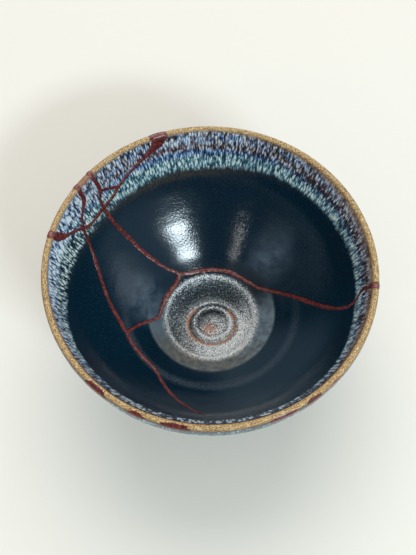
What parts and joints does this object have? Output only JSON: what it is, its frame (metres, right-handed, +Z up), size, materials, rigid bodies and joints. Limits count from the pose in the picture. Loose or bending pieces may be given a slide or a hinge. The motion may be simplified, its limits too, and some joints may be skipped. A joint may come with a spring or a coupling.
{
  "type": "kintsugi bowl",
  "caption": "Footed round stoneware bowl, dark glazed with a mottled blue band at the rim, broken into sherds and mended with red-brown lacquer seams.",
  "frame": {"origin": "centre of the foot ring's underside, where the bowl stands on the table", "axes": "+Z up out of the bowl's mouth; -Y towards the viewer of the picture; +X to the picture's right"},
  "size_m": [0.15, 0.15, 0.0743],
  "materials": {
    "glazed_stoneware": "gloss",
    "lacquer": "satin"
  },
  "bodies": {
    "root": {"main_sherd": "glazed_stoneware", "back_sherd": "glazed_stoneware", "left_wall_sherd": "glazed_stoneware", "rim_sherd_back_left": "glazed_stoneware", "triangle_sherd": "glazed_stoneware", "rim_sherd_narrow": "glazed_stoneware", "rim_sherd_left": "glazed_stoneware", "lacquer_seams": "lacquer", "chip_fill_left": "lacquer", "chip_fill_near_left": "lacquer", "chip_fill_near": "lacquer", "chip_fill_near_right": "lacquer", "chip_fill_right": "lacquer"}
  },
  "joints": []
}
